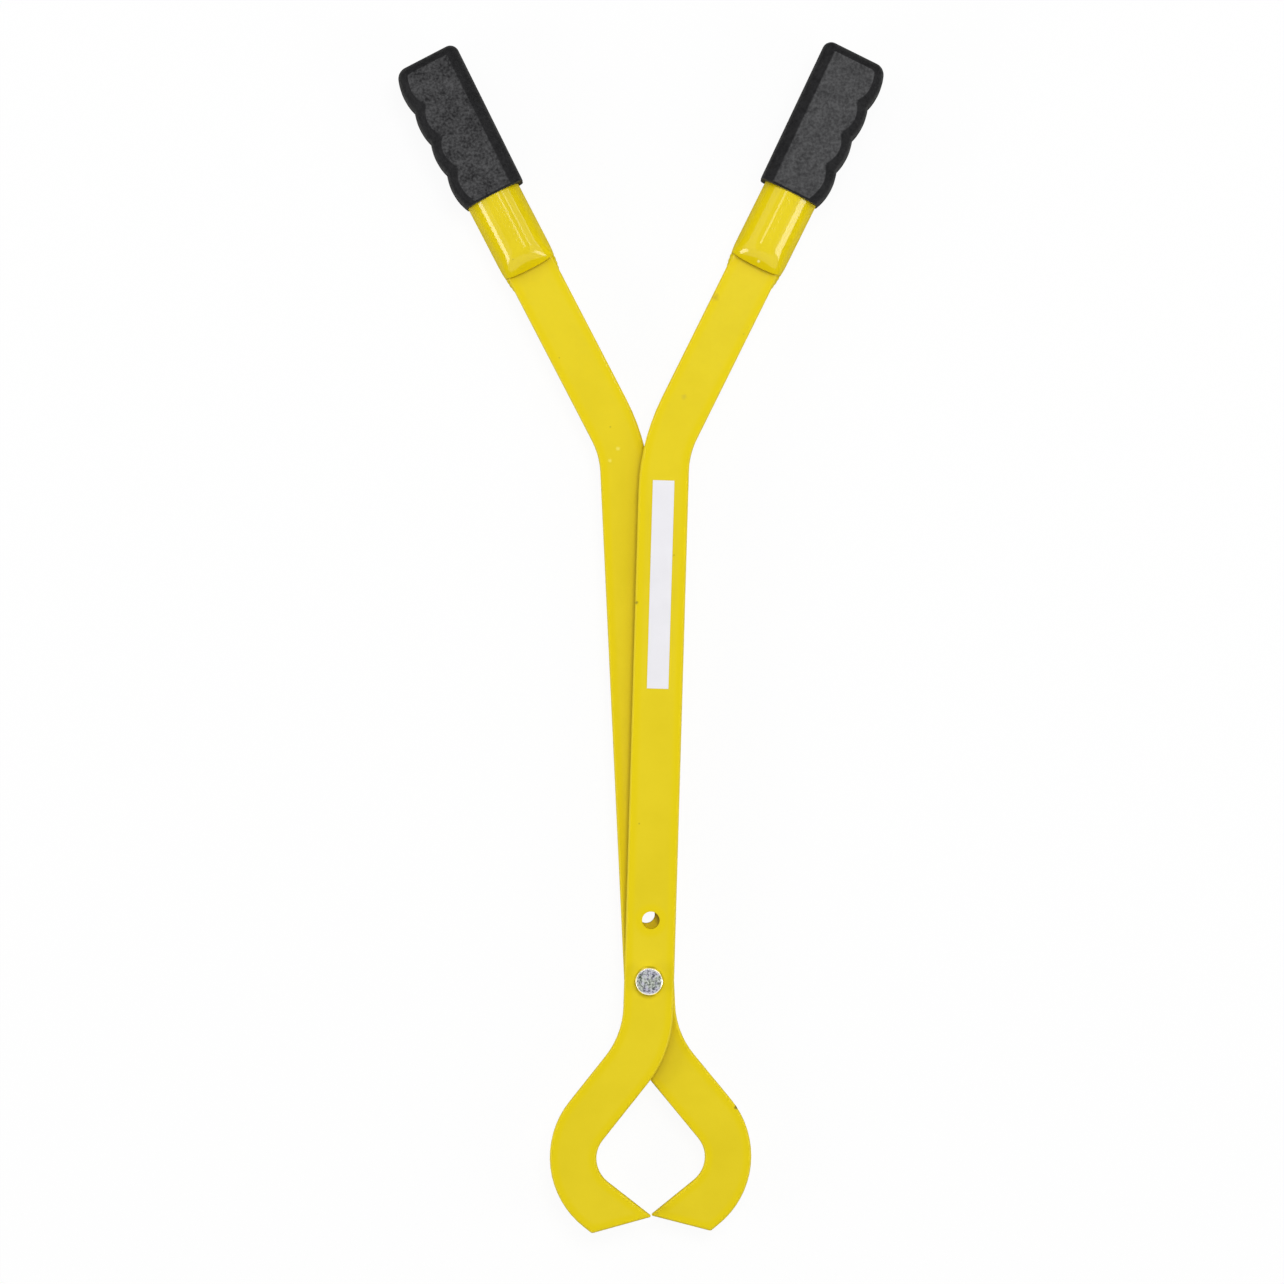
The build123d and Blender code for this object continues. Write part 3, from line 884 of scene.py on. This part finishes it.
def zinc_plate(name, metallic):
    """Zinc in spangles 2 mm across, bluish and greenish in the dark ones, with a painted highlight
    of near white on chamfers and steep sides.
    """
    material, tree, place = new_material(name)
    cloud = add_node(
        tree, "TexNoise",
        {"Vector": place, "Scale": per_mm(SPANGLE_MM), "Detail": 4.0, "Roughness": 0.8},
    )
    share = add_node(tree, "MapRange", {"Value": cloud, "From Min": 0.41, "From Max": 0.53})
    hue = add_node(
        tree, "TexNoise",
        {"Vector": place, "Scale": per_mm(ZINC_HUE_MM), "Detail": 2.0, "Roughness": 0.6},
    )
    hue_share = add_node(tree, "MapRange", {"Value": hue, "From Min": 0.42, "From Max": 0.58})
    dark, light = [
        add_node(
            tree, "Mix", {0: hue_share, 6: linear(bluish), 7: linear(greenish)}, data_type="RGBA"
        ).outputs[2]
        for bluish, greenish in (ZINC_DARK, ZINC_LIGHT)
    ]
    mottled = add_node(tree, "Mix", {0: share, 6: dark, 7: light}, data_type="RGBA")
    # Chamfers and steep sides take a near-white colour, a painted highlight.
    flat = facing_up(tree, 0.94, 0.98)
    colour = add_node(
        tree, "Mix", {0: flat, 6: linear(ZINC_SIDE_HIGHLIGHT), 7: mottled.outputs[2]}, data_type="RGBA"
    ).outputs[2]
    cloudy = add_node(tree, "MapRange", {"Value": cloud, "To Min": 0.35, "To Max": 0.55})
    roughness = add_node(tree, "Mix", {0: flat, 2: 0.22, 3: cloudy})
    bump = add_node(tree, "Bump", {"Height": cloud, "Strength": 1.0, "Distance": 0.06e-3})
    shader = add_node(
        tree, "BsdfPrincipled",
        {"Base Color": colour, "Metallic": metallic, "Roughness": roughness, "Normal": bump},
    )
    add_node(tree, "OutputMaterial", {"Surface": shader})
    return material


cover(zinc_plate("weathered_zinc_plate", metallic=0.4), "washer", "pivot_nut")
make_bolt().data.materials.append(zinc_plate("bright_zinc_plate", metallic=1.0))


# Locking ring. It is natural nylon, pressed into the nut's collar, where it bites on the bolt's
# thread. The collar hides it from every side.
def natural_nylon():
    """Cream nylon, faintly cloudy, with a waxy gloss."""
    material, tree, place = new_material("natural_nylon")
    cloud = add_node(tree, "TexNoise", {"Vector": place, "Scale": per_mm(3), "Detail": 2.0})
    colour = add_node(
        tree, "Mix", {0: cloud, 6: linear("#E4E0D2"), 7: linear("#F1EEE6")}, data_type="RGBA"
    ).outputs[2]
    bump = add_node(tree, "Bump", {"Height": cloud, "Strength": 1.0, "Distance": 0.03e-3})
    shader = add_node(
        tree, "BsdfPrincipled",
        {"Base Color": colour, "Roughness": 0.38, "IOR": 1.53, "Normal": bump},
    )
    add_node(tree, "OutputMaterial", {"Surface": shader})
    return material


cover(natural_nylon(), "insert_ring")


# Label. It is a strip of white vinyl film stuck to the front arm, left bare. It lies a little
# uneven over the bar, and its gloss varies where thumbs pressed it down.
def vinyl_film():
    """White vinyl film with faint ripples 12 mm apart."""
    material, tree, place = new_material("white_vinyl_film")
    ripple = add_node(tree, "TexNoise", {"Vector": place, "Scale": per_mm(12), "Detail": 2.0})
    colour = add_node(
        tree, "Mix", {0: ripple, 6: linear("#E6E5E9"), 7: linear("#EDECF0")}, data_type="RGBA"
    ).outputs[2]
    roughness = add_node(tree, "MapRange", {"Value": ripple, "To Min": 0.28, "To Max": 0.45})
    bump = add_node(tree, "Bump", {"Height": ripple, "Strength": 1.0, "Distance": 0.15e-3})
    shader = add_node(
        tree, "BsdfPrincipled",
        {"Base Color": colour, "Roughness": roughness, "IOR": 1.5, "Normal": bump},
    )
    add_node(tree, "OutputMaterial", {"Surface": shader})
    return material


cover(vinyl_film(), "label")


# Picture settings.
bpy.context.scene.view_settings.view_transform = "Standard"
